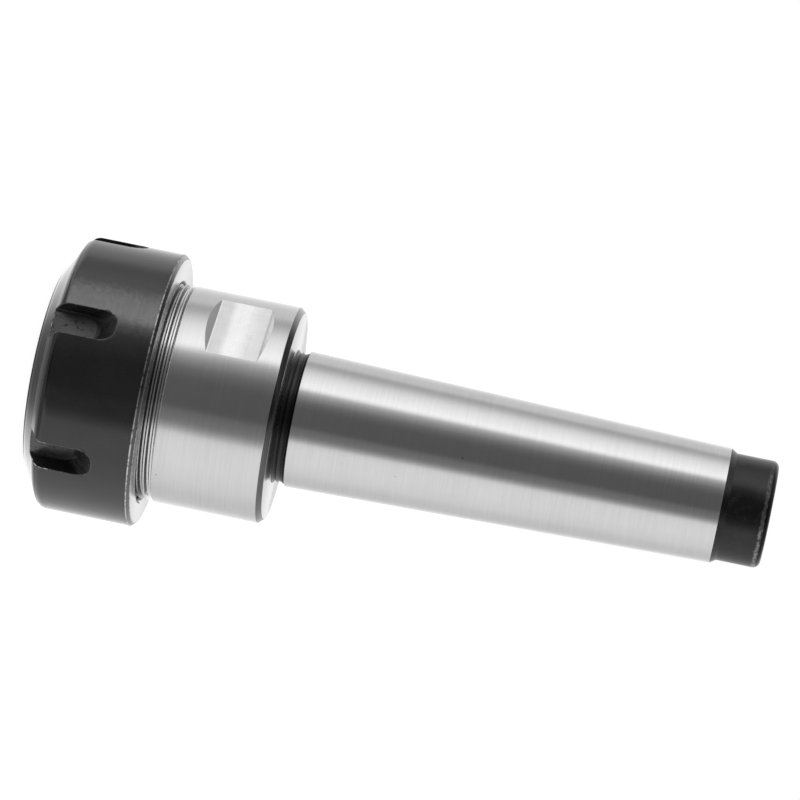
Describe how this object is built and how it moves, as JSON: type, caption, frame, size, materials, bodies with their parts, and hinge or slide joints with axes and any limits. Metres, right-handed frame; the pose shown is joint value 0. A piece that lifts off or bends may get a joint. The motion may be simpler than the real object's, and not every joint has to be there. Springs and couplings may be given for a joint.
{
  "type": "collet chuck holder",
  "caption": "Collet chuck holder: taper shank, collar with spanner flats, slotted clamping nut on a threaded nose, spring collet inside.",
  "frame": {"origin": "centre of the nut's front face, on which the chuck stands", "axes": "+Z along the common axis, from the nut to the end of the shank"},
  "size_m": [0.063, 0.063, 0.1676],
  "materials": {
    "ground_steel": "ground bright, fine marks around the axis",
    "blackened_steel": "satin black oxide, worn at the edges",
    "collet_steel": "ground"
  },
  "bodies": {
    "holder": {"chuck_body": "ground_steel"},
    "collet": {"spring_collet": "collet_steel"},
    "nut": {"clamping_nut": "blackened_steel"}
  },
  "joints": [
    {"name": "collet_draw", "type": "slide", "parent": "holder", "child": "collet", "axis": [0, 0, -1], "range_m": [0, 0.0045]},
    {"name": "nut_turn", "type": "hinge", "parent": "collet", "child": "nut", "pos_m": [0, 0, 0], "axis": [0, 0, -1], "range_deg": [0, 1080]}
  ],
  "couplings": [
    {"joint": "collet_draw", "follows": "nut_turn", "m_per_rad": 0.00023873}
  ]
}
